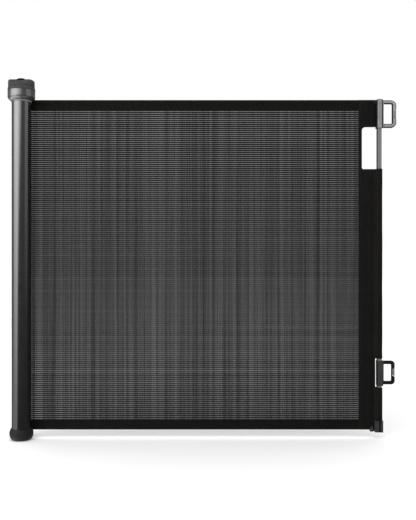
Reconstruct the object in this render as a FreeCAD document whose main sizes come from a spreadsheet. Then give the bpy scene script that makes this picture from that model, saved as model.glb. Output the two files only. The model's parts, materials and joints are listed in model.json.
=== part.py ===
import FreeCAD, Part
import math
import os

import Sketcher

# Retractable pet gate, in millimetres. The roller's axis is the Z axis, the origin is on it at the
# underside of the foot, +X is the way the screen is pulled out, and +Y is towards the wall.

Vector = FreeCAD.Vector
Rotation = FreeCAD.Rotation
doc = FreeCAD.newDocument("PetGate")
sheet = doc.addObject("Spreadsheet::Sheet", "Sizes")


class Size:
    """A number together with the sheet expression that it comes from."""

    def __init__(self, value, text=None):
        self.value = float(value)
        self.text = text or f"{float(value):g}"

    def joined(self, sign, other, swap=False):
        one, two = (sized(other), self) if swap else (self, sized(other))
        results = {
            "+": one.value + two.value, "-": one.value - two.value, "*": one.value * two.value,
            "/": one.value / two.value if two.value else 0,
        }
        return Size(results[sign], f"({one.text} {sign} {two.text})")

    def __add__(self, other):
        return self.joined("+", other)

    def __radd__(self, other):
        return self.joined("+", other, swap=True)

    def __sub__(self, other):
        return self.joined("-", other)

    def __rsub__(self, other):
        return self.joined("-", other, swap=True)

    def __mul__(self, other):
        return self.joined("*", other)

    def __rmul__(self, other):
        return self.joined("*", other, swap=True)

    def __truediv__(self, other):
        return self.joined("/", other)

    def __neg__(self):
        return Size(-self.value, f"(0 - {self.text})")


def sized(number):
    return number if isinstance(number, Size) else Size(number)


drivingSizes = {
    # housing: round tube with a slot, and what closes its ends
    "tubeRadius": 24, "tubeWall": 1.6, "tubeBottom": 20, "tubeTop": 864.5,
    "slotFront": 13.9, "slotBack": 18.9,
    "collarRadius": 34, "collarBottom": 855, "collarTop": 889.8, "collarBore": 30.8,
    "collarFloor": 3.5, "trimHeight": 3.7, "trimRadius": 25.2,
    "footRadius": 29.7, "footWaist": 15.7, "footTop": 28.8, "footBase": 0.8, "padThick": 3.4,
    # roller and what turns with it
    "rollerRadius": 10, "rollerWall": 1.5, "rollerBottom": 17, "rollerTop": 862,
    "woundRadius": 15.7, "spindleRadius": 4, "spindleTop": 240,
    # lock in the collar
    "wheelRadius": 24, "wheelBottom": 869.5, "wheelThick": 3.5, "toothHeight": 3,
    "ringTravel": 3, "ringThick": 2.5, "toothGap": 0.4,
    "knobRadius": 32.7, "knobBottom": 890.3, "knobTop": 906.3, "buttonRadius": 13.4, "buttonTop": 912.2,
    "buttonTravel": 4,
    # screen
    "clothFront": 16, "clothThick": 0.7, "clothBottom": 20.4, "clothTop": 861.2,
    "topHem": 27.3, "bottomHem": 26, "hemThick": 1,
    # leading band and bar
    "bandLeft": 856.9, "bandRight": 915.2, "bandFront": 15.2, "bandThick": 2, "sleeveWall": 1.8,
    "handLeft": 863.9, "handBottom": 684.9, "handTop": 791.8, "cutBottom": 129, "cutTop": 202.2,
    "barLeft": 903, "barRight": 913.2, "barFront": 8, "barBack": 24, "barBottom": 17, "barTop": 858,
    "barWall": 1.5,
    # end fittings and D loops
    "fitLeft": 901.1, "fitRight": 916.2, "fitFront": 5, "fitBack": 27, "fitBottom": 789, "fitTop": 862,
    "clipFront": 6, "clipBack": 26, "clipBottom": 133, "clipTop": 197,
    "shoeLeft": 896, "shoeBottom": 15.5, "shoeTop": 44.6,
    "loopFront": 11, "loopBack": 21, "loopCorner": 13.8,
    # wall brackets
    "bracketFace": 43, "bracketThick": 3.2, "bracketHole": 2.25,
    "upperHalf": 22, "upperHoles": 32, "upperBracket": 857, "upperBracketTop": 888,
    "lowerHalf": 19, "lowerHoles": 26, "lowerBracket": 5, "lowerBracketTop": 25,
    # clearances
    "fit": 0.05, "gap": 0.3,
}

size = {}
for row, (word, number) in enumerate(drivingSizes.items(), start=1):
    sheet.set(f"A{row}", word)
    sheet.set(f"B{row}", str(number))
    sheet.setAlias(f"B{row}", word)
    size[word] = Size(number, f"Sizes.{word}")
doc.recompute()

subParts = []
origin = Vector(0, 0, 0)


def keep(label, shape):
    """Makes an object of the document one of the gate's sub-parts."""
    shape.Label = label
    subParts.append(shape)
    return shape


def bind(thing, **values):
    for name, number in values.items():
        thing.setExpression(name.replace("_", "."), sized(number).text)


def named(kind, name):
    return doc.addObject(kind, name)


def box(name, x, y, z):
    """A box between the given pairs of X, Y and Z."""
    made = named("Part::Box", name)
    bind(made, Length=x[1] - sized(x[0]), Width=y[1] - sized(y[0]), Height=z[1] - sized(z[0]))
    bind(made, Placement_Base_x=x[0], Placement_Base_y=y[0], Placement_Base_z=z[0])
    return made


def rod(name, radius, z, x=0, y=0):
    """A cylinder along Z."""
    made = named("Part::Cylinder", name)
    bind(made, Radius=radius, Height=z[1] - sized(z[0]))
    bind(made, Placement_Base_x=x, Placement_Base_y=y, Placement_Base_z=z[0])
    return made


def rodAlongY(name, radius, x, y, z):
    made = named("Part::Cylinder", name)
    made.Placement = FreeCAD.Placement(origin, Rotation(Vector(1, 0, 0), -90))
    bind(made, Radius=radius, Height=y[1] - sized(y[0]))
    bind(made, Placement_Base_x=x, Placement_Base_y=y[0], Placement_Base_z=z)
    return made


def spoke(name, radius, reach, angle, height):
    """A cylinder that points away from the Z axis, from reach[0] to reach[1]."""
    made = named("Part::Cylinder", name)
    out = Vector(math.cos(math.radians(angle)), math.sin(math.radians(angle)), 0)
    made.Placement = FreeCAD.Placement(origin, Rotation(Vector(0, 0, 1), out))
    start = sized(reach[0])
    bind(made, Radius=radius, Height=reach[1] - start)
    bind(made, Placement_Base_x=out.x * start, Placement_Base_y=out.y * start, Placement_Base_z=height)
    return made


def turned(shape, angle):
    """Turns a shape about the Z axis."""
    shape.Placement = FreeCAD.Placement(origin, Rotation(Vector(0, 0, 1), angle)) * shape.Placement
    return shape


def settled(shape):
    """Fixes a bound placement as it stands, so that the shape can be turned."""
    doc.recompute()
    here = shape.Placement.copy()
    for axis in ("x", "y", "z"):
        shape.setExpression(f"Placement.Base.{axis}", None)
    shape.Placement = here
    return shape


def fuse(name, *shapes):
    made = named("Part::MultiFuse", name)
    made.Shapes = list(shapes)
    made.Refine = True
    return made


def group(name, *shapes):
    """Several loose solids in one sub-part."""
    made = named("Part::Compound", name)
    made.Links = list(shapes)
    return made


def cut(name, base, *tools):
    made = named("Part::Cut", name)
    made.Base = base
    made.Tool = tools[0] if len(tools) == 1 else fuse(name + "Tools", *tools)
    made.Refine = True
    return made


def tube(name, outer, inner, z):
    past = 1
    bore = rod(name + "Bore", inner, (z[0] - sized(past), z[1] + sized(past)))
    return cut(name, rod(name + "Outside", outer, z), bore)


def arcMiddle(start, end, radius):
    """The middle of an arc that turns left on the way from start to end."""
    chord = end - start
    left = Vector(-chord.y, chord.x, 0).normalize()
    rise = radius - math.sqrt(max(0, radius * radius - chord.Length ** 2 / 4))
    return (start + end) * 0.5 - left * rise


def bulge(rise, run):
    """The radius of an arc that starts square to its rise, and gains the run over it."""
    return (rise * rise + run * run) / (2 * rise)


def outline(body, name, plane, points, offset=0):
    """A closed sketch through the points, each (x, y) or (x, y, radius of the arc to the next)."""
    sketch = body.newObject("Sketcher::SketchObject", name)
    sketch.AttachmentSupport = [(p, "") for p in body.Origin.OriginFeatures if p.Role == plane]
    sketch.MapMode = "FlatFace"
    bind(sketch, AttachmentOffset_Base_z=offset)
    corners = [Vector(sized(p[0]).value, sized(p[1]).value, 0) for p in points]
    starts = []
    for n, point in enumerate(points):
        start, end = corners[n], corners[(n + 1) % len(points)]
        if len(point) == 2:
            sketch.addGeometry(Part.LineSegment(start, end))
        else:
            sketch.addGeometry(Part.Arc(start, arcMiddle(start, end, sized(point[2]).value), end))
        forward = sketch.Geometry[n].StartPoint.distanceToPoint(start) < 1e-6
        starts.append(1 if forward else 2)
    for n, point in enumerate(points):
        before = n - 1 if n else len(points) - 1
        sketch.addConstraint(Sketcher.Constraint("Coincident", before, 3 - starts[before], n, starts[n]))
        if len(point) == 3:
            rule = sketch.addConstraint(Sketcher.Constraint("Radius", n, sized(point[2]).value))
            sketch.setExpression(f"Constraints[{rule}]", sized(point[2]).text)
        for way, axis, number in (("DistanceX", -2, point[0]), ("DistanceY", -1, point[1])):
            number = sized(number)
            if abs(number.value) < 1e-9:
                sketch.addConstraint(Sketcher.Constraint("PointOnObject", n, starts[n], axis))
                continue
            rule = sketch.addConstraint(Sketcher.Constraint(way, -1, 1, n, starts[n], number.value))
            sketch.setExpression(f"Constraints[{rule}]", number.text)
    return sketch


def newBody(name):
    return named("PartDesign::Body", name)


def revolved(name, points):
    """A body turned about Z from an outline of (radius, height) points."""
    body = newBody(name)
    made = body.newObject("PartDesign::Revolution", name + "Turn")
    made.Profile = outline(body, name + "Outline", "XZ_Plane", points)
    made.ReferenceAxis = (made.Profile[0], ["V_Axis"])
    made.Angle = 360
    return body


def pad(body, name, plane, points, span):
    """Adds a prism: an XY outline between two heights, or an XZ outline between two depths in Y."""
    low, high = sized(span[0]), sized(span[1])
    made = body.newObject("PartDesign::Pad", name)
    made.Profile = outline(body, name + "Outline", plane, points, low if plane == "XY_Plane" else -high)
    bind(made, Length=high - low)
    return made


def flat(name, points, y):
    """A body cut from a plate that stands in the XZ plane."""
    body = newBody(name)
    pad(body, name + "Plate", "XZ_Plane", points, y)
    return body


def isVertical(edge):
    low, high = edge.BoundBox.ZMin, edge.BoundBox.ZMax
    return edge.BoundBox.DiagonalLength - (high - low) < 1e-6


def isAlongY(edge):
    return edge.BoundBox.DiagonalLength - edge.BoundBox.YLength < 1e-6


def isFlatInY(edge):
    return edge.BoundBox.YLength < 1e-6


def isAtSide(edge, x):
    return abs(edge.BoundBox.XMax - x) < 1e-4 and edge.BoundBox.XLength < 1e-4 and edge.BoundBox.ZLength > 5


def roundedEdges(name, shape, radius, chosen):
    """Rounds the edges for which chosen(edge) is true."""
    doc.recompute()
    edges = [n for n, edge in enumerate(shape.Shape.Edges, start=1) if chosen(edge)]
    made = named("Part::Fillet", name)
    made.Base = shape
    made.Edges = [(n, radius, radius) for n in edges]
    return made


def helix(name, radius, wire, pitch, z, x=0, y=0):
    """A round wire wound along Z, as a computed solid."""
    length = z[1] - z[0]
    path = Part.makeHelix(pitch, length, radius)
    section = Part.Wire(Part.makeCircle(wire, Vector(radius, 0, 0), Vector(0, 1, 0)))
    solid = Part.Wire(path).makePipeShell([section], True, True)
    made = named("Part::Feature", name)
    made.Shape = solid
    made.Placement = FreeCAD.Placement(Vector(x, y, z[0]), Rotation())
    return made


# ---- housing -------------------------------------------------------------------------------------

tubeSpan = (size["tubeBottom"], size["tubeTop"])
slotSides = (size["slotFront"], size["slotBack"])
collarScrewAngles = (120, 170)
collarScrewHeight = size["collarBottom"] + 5
footScrewHeight = size["tubeBottom"] + 3.2
screwShank, screwHead = 1.5, 2.8
bracketTap = 1.7
pinAngles = (45, 135)
pinHeight = size["collarTop"] - 2.3
upperBracketMiddle = (size["upperBracket"] + size["upperBracketTop"]) * 0.5
lowerBracketMiddle = (size["lowerBracket"] + size["lowerBracketTop"]) * 0.5


def screwHoles(name, angles, height, reach, radius):
    return [spoke(f"{name}{angle}", radius, reach, angle, height) for angle in angles]


def makeHousingTube():
    shell = tube("tubeShell", size["tubeRadius"], size["tubeRadius"] - size["tubeWall"], tubeSpan)
    slot = box("tubeSlot", (10, size["tubeRadius"] + 1), slotSides,
               (size["tubeBottom"] - 1, size["tubeTop"] + 1))
    reach = (size["rollerRadius"] + 8, size["tubeRadius"] + 2)
    holes = screwHoles("tubeHoleUp", collarScrewAngles, collarScrewHeight, reach, screwShank + 0.1)
    holes += screwHoles("tubeHoleLow", collarScrewAngles, footScrewHeight, reach, screwShank + 0.1)
    keep("housing_tube", cut("housingTube", shell, slot, *holes))


def makeTrimRing():
    z = (size["collarBottom"] - size["trimHeight"] - 0.1, size["collarBottom"] - 0.1)
    ring = tube("trimBand", size["trimRadius"], size["tubeRadius"] + size["fit"], z)
    gap = box("trimGap", (10, 30), (13, 20), (z[0] - 1, z[1] + 1))
    keep("top_trim_ring", cut("topTrimRing", ring, gap))


def makeCollar():
    floorBottom = size["tubeTop"] + size["fit"]
    floorTop = size["tubeTop"] + size["collarFloor"]
    socket = size["tubeRadius"] + size["fit"]
    lowerInset, lowerRise, shoulderInset, shoulderRise = 8.1, 9.4, 1.7, 8
    shell = revolved("collarShell", [
        (socket, size["collarBottom"]),
        (size["collarRadius"] - lowerInset, size["collarBottom"], bulge(sized(lowerInset), lowerRise)),
        (size["collarRadius"], size["collarBottom"] + lowerRise),
        (size["collarRadius"], size["collarTop"] - shoulderRise, bulge(sized(shoulderInset), shoulderRise)),
        (size["collarRadius"] - shoulderInset, size["collarTop"]),
        (size["collarBore"], size["collarTop"]),
        (size["collarBore"], floorTop),
        (8, floorTop),
        (8, floorBottom),
        (socket, floorBottom),
    ])
    ribs = []
    for angle in (90, 210, 330):
        rib = box(f"collarRib{angle}", (28.4, size["collarBore"] + 1), (-2, 2),
                  (floorTop, size["collarTop"] - 5.3))
        ribs.append(turned(settled(rib), angle))
    mouth = box("collarMouth", (16, 40), (13, 20), (size["collarBottom"] - 5, size["clothTop"] + 3))
    wall = (size["tubeRadius"] - 2, size["collarRadius"] + 2)
    holes = screwHoles("collarHole", collarScrewAngles, collarScrewHeight, wall, screwShank + size["fit"])
    recess = (size["collarRadius"] - 2.2, size["collarRadius"] + 2)
    holes += screwHoles("collarSink", collarScrewAngles, collarScrewHeight, recess, screwHead + 0.1)
    holes += screwHoles("collarPinHole", pinAngles, pinHeight, (size["collarBore"] - 1, recess[1]), 0.8)
    holes.append(spoke("collarBracketHole", bracketTap, (size["collarBore"] - 4, recess[1]), 90,
                       upperBracketMiddle))
    keep("top_collar", cut("topCollar", fuse("collarRibbed", shell, *ribs), mouth, *holes))


def screws(label, name, places):
    """Screws that point away from the Z axis: (angle, height, inner end, outer end of the head)."""
    made = []
    for n, (angle, height, inner, outer) in enumerate(places):
        shank = spoke(f"{name}Shank{n}", screwShank, (inner, outer - 1.8), angle, height)
        head = spoke(f"{name}Head{n}", screwHead, (outer - 1.8, outer), angle, height)
        driver = spoke(f"{name}Driver{n}", 1.1, (outer - 1, outer + 1), angle, height)
        made.append(cut(f"{name}{n}", fuse(f"{name}Whole{n}", shank, head), driver))
    keep(label, group(name, *made))


def makeHousingScrews():
    inner = size["tubeRadius"] - 3.5
    outer = size["collarRadius"] - 0.4
    places = [(angle, collarScrewHeight, inner, outer) for angle in collarScrewAngles]
    screws("collar_screws", "collarScrews", places)
    places = [(angle, footScrewHeight, inner, size["footRadius"] - 1.6) for angle in collarScrewAngles]
    screws("foot_screws", "footScrews", places)
    pins = [spoke(f"knobPin{angle}", 0.75, (30.2, size["collarRadius"] - 0.6), angle, pinHeight)
            for angle in pinAngles]
    keep("knob_retaining_pins", group("knobPins", *pins))


def makeFoot():
    base = size["footBase"]
    padRoom = size["padThick"] + 0.1
    socket = size["tubeRadius"] + size["fit"]
    widest = size["footRadius"]
    baseRadius, neckRadius = 24.4, 25.6
    lowerArc = bulge(widest - baseRadius, size["footWaist"] - base)
    upperArc = bulge(widest - neckRadius, size["footTop"] - size["footWaist"])
    shell = revolved("footShell", [
        (9.05, padRoom), (21.3, padRoom), (21.3, base), (baseRadius, base, lowerArc),
        (widest, size["footWaist"], upperArc),
        (neckRadius, size["footTop"]), (socket, size["footTop"]), (socket, size["tubeBottom"]),
        (19, size["tubeBottom"]), (19, 9), (10, 9), (10, 12), (4.05, 12), (4.05, 5.5), (9.05, 5.5),
    ])
    mouth = box("footMouth", (16, 40), (13, 20), (size["tubeBottom"] + 0.2, size["footTop"] + 2))
    wall = (size["tubeRadius"] - 2, size["footRadius"] + 2)
    holes = screwHoles("footHole", collarScrewAngles, footScrewHeight, wall, screwShank + size["fit"])
    recess = (size["footRadius"] - 3.5, size["footRadius"] + 2)
    holes += screwHoles("footSink", collarScrewAngles, footScrewHeight, recess, screwHead + 0.1)
    holes.append(spoke("footBracketHole", bracketTap, (20.5, size["footRadius"] + 2), 90,
                       lowerBracketMiddle))
    keep("foot_cap", cut("footCap", shell, mouth, *holes))
    pad = roundedEdges("footPad", rod("footPadDisc", 21.2, (0, size["padThick"])), 0.6,
                       lambda edge: edge.BoundBox.ZMax < 0.1)
    keep("foot_pad", pad)


def makeSpindle():
    flange = rod("spindleFlange", 9, (size["padThick"] + 0.1, size["padThick"] + 2))
    shaft = rod("spindleShaft", size["spindleRadius"], (size["padThick"] + 0.1, size["spindleTop"]))
    keep("spindle", fuse("spindleWhole", flange, shaft))
    anchor = tube("springAnchorHub", 6.9, size["spindleRadius"] + size["fit"], (50, 60))
    keep("spring_anchor", fuse("springAnchor", tube("springAnchorRim", 8.1, 4.05, (48, 50)), anchor))
    keep("torsion_spring", helix("torsionSpring", 7, 0.55, 9, (60.7, 228.7)))
    keep("lower_bearing", tube("lowerBearing", 9.5, size["spindleRadius"] + 0.1, (12, 14)))
    bush = (size["tubeTop"] + size["fit"], size["tubeTop"] + size["collarFloor"])
    sleeve = rod("upperBearingSleeve", 7.95, bush)
    flange = rod("upperBearingFlange", 11, (bush[1], bush[1] + 1.2))
    bore = rod("upperBearingBore", 5.15, (bush[0] - 1, bush[1] + 3))
    keep("upper_bearing", cut("upperBearing", fuse("upperBearingBody", sleeve, flange), bore))


def makeBracket(label, name, half, low, high, holes, post, held):
    """A wall plate with two screw holes and a saddle that carries the housing."""
    face = size["bracketFace"]
    middle = (low + high) * 0.5
    plateFront = face - size["bracketThick"]
    plate = box(name + "Box", (-half, half), (plateFront, face), (low, high))
    plate = roundedEdges(name + "Plate", plate, 4, isAlongY)
    block = box(name + "Block", (-post, post), (held - 6, plateFront), (low + 4, high - 4))
    hollow = rod(name + "Hollow", held + size["fit"], (low, high))
    bores = [rodAlongY(name + "Bore", 1.75, 0, (held - 8, face + 1), middle),
             rodAlongY(name + "Sink", 3.9, 0, (face - 3, face + 1), middle)]
    for side in (-0.5, 0.5):
        bore = rodAlongY(f"{name}{'Left' if side < 0 else 'Right'}", size["bracketHole"],
                         holes * side, (plateFront - 1, face + 1), middle)
        bores.append(bore)
    keep(label, cut(name, fuse(name + "Solid", plate, block), hollow, *bores))


def makeBrackets():
    makeBracket("upper_wall_bracket", "upperBracket", size["upperHalf"], size["upperBracket"],
                size["upperBracketTop"], size["upperHoles"], 10, size["collarRadius"])
    makeBracket("lower_wall_bracket", "lowerBracket", size["lowerHalf"], size["lowerBracket"],
                size["lowerBracketTop"], size["lowerHoles"], 8, size["footRadius"])
    made = []
    for n, (middle, end) in enumerate(((upperBracketMiddle, 29.6), (lowerBracketMiddle, 22))):
        face = size["bracketFace"]
        shank = rodAlongY(f"bracketShank{n}", 1.65, 0, (end, face - 2.9), middle)
        head = rodAlongY(f"bracketHead{n}", 3.8, 0, (face - 2.9, face - 0.6), middle)
        driver = rodAlongY(f"bracketDriver{n}", 1.4, 0, (face - 1.8, face), middle)
        made.append(cut(f"bracketScrew{n}", fuse(f"bracketScrewWhole{n}", shank, head), driver))
    keep("bracket_screws", group("bracketScrews", *made))


# ---- roller --------------------------------------------------------------------------------------

wheelTop = size["wheelBottom"] + size["wheelThick"]


def makeRoller():
    bottom, top = size["rollerBottom"], size["rollerTop"]
    bore = size["rollerRadius"] - size["rollerWall"]
    keep("roller_tube", tube("rollerTube", size["rollerRadius"], bore, (bottom, top)))
    plug = bore - size["fit"]
    shaftRoom = size["spindleRadius"] + size["gap"]
    insert = tube("bottomPlugInsert", plug, shaftRoom, (bottom, bottom + 20))
    flange = tube("bottomPlugFlange", size["rollerRadius"], shaftRoom, (bottom - 2.7, bottom))
    keep("roller_bottom_plug", fuse("bottomPlug", insert, flange))
    keep("roller_spring_plug", tube("springPlug", plug, shaftRoom, (230, 244)))
    insert = rod("topPlugInsert", plug, (top - 20, top))
    flange = rod("topPlugFlange", size["rollerRadius"], (top, top + 2.1))
    shaft = rod("topPlugShaft", 5, (top + 2.1, size["wheelBottom"]))
    drive = box("topPlugDrive", (-3.2, 3.2), (-3.2, 3.2), (size["wheelBottom"], wheelTop))
    tap = rod("topPlugTap", 1.65, (top - 2, wheelTop + 1))
    keep("roller_top_plug", cut("topPlug", fuse("topPlugSolid", insert, flange, shaft, drive), tap))
    keep("wound_mesh", tube("woundMesh", size["woundRadius"], size["rollerRadius"] + 0.8,
                            (size["clothBottom"], size["clothTop"])))
    strip = tube("clampBand", size["rollerRadius"] + 0.75, size["rollerRadius"] + size["fit"],
                 (size["clothBottom"] + 8, size["clothTop"] - 8))
    window = box("clampWindow", (-4, 4), (5, 12), (0, 900))
    sector = named("Part::Common", "clampStrip")
    sector.Base = strip
    sector.Tool = window
    keep("mesh_clamp_strip", sector)


toothCount = 12
toothHalf = 6.5


def crown(body, name, low, high, turn):
    """Twelve crown teeth on a body, from low to high, with a tooth centred on the angle turn."""
    inner, outer = size["wheelRadius"] - 8, size["wheelRadius"] - 0.1
    corners = []
    for radius, side in ((inner, -1), (outer, -1), (outer, 1), (inner, 1)):
        angle = math.radians(turn + side * toothHalf)
        corners.append((math.cos(angle) * radius, math.sin(angle) * radius))
    tooth = pad(body, name, "XY_Plane", corners, (low, high))
    ringOfTeeth = body.newObject("PartDesign::PolarPattern", name + "Ring")
    ringOfTeeth.Originals = [tooth]
    ringOfTeeth.Axis = ([f for f in body.Origin.OriginFeatures if f.Role == "Z_Axis"][0], [""])
    ringOfTeeth.Angle = 360
    ringOfTeeth.Occurrences = toothCount
    body.Tip = ringOfTeeth


def makeRatchet():
    low = size["wheelBottom"]
    rim = size["wheelRadius"]
    body = revolved("ratchetWheel", [(0, low), (rim, low), (rim, wheelTop), (0, wheelTop)])
    crown(body, "wheelTooth", wheelTop - 0.5, wheelTop + size["toothHeight"], 0)
    square = box("wheelSquare", (-3.3, 3.3), (-3.3, 3.3), (low - 1, wheelTop + 1))
    keep("ratchet_wheel", cut("ratchetWheelBored", body, square))
    head = rod("ratchetScrewHead", 4.2, (wheelTop, wheelTop + 2.2))
    shank = rod("ratchetScrewShank", 1.6, (size["rollerTop"] - 1.5, wheelTop))
    driver = rod("ratchetScrewDriver", 1.5, (wheelTop + 1, wheelTop + 3))
    keep("ratchet_screw", cut("ratchetScrew", fuse("ratchetScrewWhole", head, shank), driver))


# ---- lock ring, knob and button ------------------------------------------------------------------

ringBottom = wheelTop + size["toothHeight"] + size["ringTravel"] + size["toothGap"]
ringTop = ringBottom + size["ringThick"]


def makeLockRing():
    outer = size["collarBore"] - size["toothGap"]
    inner = 14
    body = revolved("lockRingDisc", [(inner, ringBottom), (outer, ringBottom), (outer, ringTop),
                                     (inner, ringTop)])
    crown(body, "ringTooth", ringBottom - size["toothHeight"], ringBottom + 0.5, 180 / toothCount)
    ramps = []
    for angle in (60, 180, 300):
        ramp = newBody(f"ringRamp{angle}")
        top = ringTop + size["ringTravel"]
        # the ramp runs along the ring at radius 20 to 27, rises over 8 mm and stays level for 6 mm
        rise = [(-8, ringTop - 1), (6, ringTop - 1), (6, top), (0, top), (-8, ringTop)]
        pad(ramp, f"ringRampPad{angle}", "XZ_Plane", rise, (-27, -20))
        ramps.append(turned(ramp, angle + 90))
    notches = []
    for angle in (90, 210, 330):
        notch = box(f"ringNotch{angle}", (28, 32), (-2.4, 2.4), (ringBottom - 1, ringTop + 1))
        notches.append(turned(settled(notch), angle))
    keep("lock_ring", cut("lockRing", fuse("lockRingRamped", body, *ramps), *notches))
    coils = []
    for angle in (30, 150, 270):
        x, y = 27.2 * math.cos(math.radians(angle)), 27.2 * math.sin(math.radians(angle))
        coils.append(helix(f"liftSpring{angle}", 1.7, 0.4, 2.6, (868.6, 878.8), x, y))
    keep("lift_springs", group("liftSprings", *coils))


# two cylinders along X hollow the knob, and the grip is left between them
scoopRadius, scoopAway, scoopAbove = 19, 32.3, 7
recessRadius, recessDepth = 17.6, 2.6
buttonUnder = size["knobTop"] - 3.5
buttonFloor = buttonUnder - size["buttonTravel"] - 1


def makeKnob():
    low, top, radius = size["knobBottom"], size["knobTop"], size["knobRadius"]
    journal = size["collarBore"] - size["gap"]
    disc = revolved("knobDisc", [
        (5.4, low), (journal - 1.4, low), (journal - 1.4, low - 5), (journal, low - 5),
        (journal, pinHeight - 1), (journal - 0.7, pinHeight - 1), (journal - 0.7, pinHeight + 1),
        (journal, pinHeight + 1), (journal, low), (radius, low), (radius, top - 4.6, 4.6),
        (radius - 4.6, top), (recessRadius, top), (recessRadius, top - recessDepth),
        (size["buttonRadius"] + 0.4, top - recessDepth), (size["buttonRadius"] + 0.4, buttonFloor),
        (5.4, buttonFloor),
    ])
    scoops = []
    for side in (-1, 1):
        scoop = named("Part::Cylinder", "knobScoopBack" if side > 0 else "knobScoopFront")
        scoop.Placement = FreeCAD.Placement(origin, Rotation(Vector(0, 1, 0), 90))
        bind(scoop, Radius=scoopRadius, Height=80, Placement_Base_x=-40)
        bind(scoop, Placement_Base_y=side * scoopAway, Placement_Base_z=top + scoopAbove)
        scoops.append(scoop)
    lugs = []
    for angle in (0, 120, 240):
        lug = box(f"knobLug{angle}", (20, 27), (-2.5, 2.5), (ringTop + size["gap"], low + 1))
        lugs.append(turned(settled(lug), angle))
    keep("lock_knob", cut("lockKnob", fuse("knobWithLugs", disc, *lugs), *scoops))


def makeButton():
    top, radius = size["buttonTop"], size["buttonRadius"]
    stemEnd = size["knobBottom"] - 0.5
    rise = 4.2
    domeRadius = bulge(sized(rise), radius)
    cap = revolved("buttonCap", [
        (1.55, stemEnd), (5, stemEnd), (5, buttonUnder), (radius, buttonUnder),
        (radius, top - rise, domeRadius),
        (0, top), (0, top - 10), (1.55, top - 10),
    ])
    keep("release_button", cap)
    head = rod("stopHead", 6.8, (stemEnd - 2.8, stemEnd))
    shank = rod("stopShank", 1.5, (stemEnd, top - 11))
    driver = rod("stopDriver", 1.6, (stemEnd - 4, stemEnd - 1.4))
    keep("button_stop_screw", cut("buttonStop", fuse("stopWhole", head, shank), driver))
    coilSpan = (buttonFloor.value + 0.7, buttonUnder.value - 0.7)
    keep("button_spring", helix("buttonSpring", 8.5, 0.4, 1.25, coilSpan))


# ---- pull bar, band and fittings -----------------------------------------------------------------

barX = (size["barLeft"], size["barRight"])
barY = (size["barFront"], size["barBack"])
screwX = 907
frontScrewY = (size["fitFront"] - 1.2, size["barFront"] + 3)
rearScrewHeights = {"clip": 165, "shoe": 36}
rivetHeight = 802.5
screwHole = 1.6
grooveX = (907.2, 908)


def around(pair, room):
    return (pair[0] - room, pair[1] + room)


def barRoom(name, z):
    return box(name, around(barX, size["fit"]), around(barY, size["fit"]), z)


def makeBar():
    z = (size["barBottom"], size["barTop"])
    outside = roundedEdges("barOutside", box("barStock", barX, barY, z), 1.5, isVertical)
    wall = size["barWall"]
    inside = box("barInside", around(barX, -wall), around(barY, -wall), around(z, 1))
    front, back = size["barFront"], size["barBack"]
    holes = [rodAlongY("barRivetHole", screwHole, screwX, (front - 1, front + 3), rivetHeight)]
    for name, height in rearScrewHeights.items():
        holes.append(rodAlongY(f"barHole{name}", screwHole, screwX, (back - 3, back + 1), height))
    groove = box("barGroove", grooveX, (size["barFront"] - 1, size["barFront"] + 0.4), around(z, 1))
    keep("pull_bar", cut("pullBar", outside, inside, groove, *holes))


def fin(body, name, points):
    """A thin clamp that lies on the front of the band's cloth."""
    pad(body, name, "XZ_Plane", points, (size["bandFront"] - 2.8, size["bandFront"] - 0.1))


def makeTopFitting():
    x, z = (size["fitLeft"], size["fitRight"]), (size["fitBottom"], size["fitTop"])
    y = (size["fitFront"], size["fitBack"])
    case = roundedEdges("fitCase", box("fitBlock", x, y, z), 1.4,
                        lambda e: isVertical(e) and e.BoundBox.XMax < screwX)
    case = roundedEdges("fitCaseRound", case, 4, lambda e: isVertical(e) and e.BoundBox.XMin > screwX)
    case = roundedEdges("fitCaseTop", case, 2.5, lambda e: e.BoundBox.ZMin > size["fitTop"].value - 0.1)
    clamp = newBody("fitFin")
    fin(clamp, "fitFinPad", [
        (888.8, 860.6), (897.7, 849), (899, 849), (899, 854), (903, 854), (903, 860.6),
    ])
    room = barRoom("fitRoom", (size["fitBottom"] - 1, size["barTop"] + size["fit"]))
    hole = rodAlongY("fitRivetHole", screwHole, screwX, (size["fitFront"] - 1, size["barFront"] + 1),
                     rivetHeight)
    groove = box("fitGroove", grooveX, (size["fitFront"] - 1, size["fitFront"] + 0.4),
                 (rivetHeight + 7.5, size["fitTop"] - 5))
    keep("top_fitting", cut("topFitting", fuse("topFittingSolid", case, clamp), room, hole, groove))
    head = rodAlongY("rivetHead", 3, screwX, (frontScrewY[0], size["fitFront"]), rivetHeight)
    head = roundedEdges("rivetHeadRound", head, 0.7,
                        lambda e: e.BoundBox.YMax < size["fitFront"].value - 0.5)
    shank = rodAlongY("rivetShank", 1.55, screwX, (size["fitFront"], frontScrewY[1]), rivetHeight)
    keep("top_fitting_rivet", fuse("topRivet", head, shank))


def makeClip():
    x, z = (size["fitLeft"] + 0.8, size["fitRight"] + 0.6), (size["clipBottom"], size["clipTop"])
    y = (size["clipFront"], size["clipBack"])
    case = roundedEdges("clipCase", box("clipBlock", x, y, z), 1.8, isVertical)
    room = barRoom("clipRoom", around(z, 1))
    hole = rodAlongY("clipHole", screwHole, screwX, (size["barBack"] - 1, size["clipBack"] + 1),
                     rearScrewHeights["clip"])
    keep("lower_clip", cut("lowerClip", case, room, hole))


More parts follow.
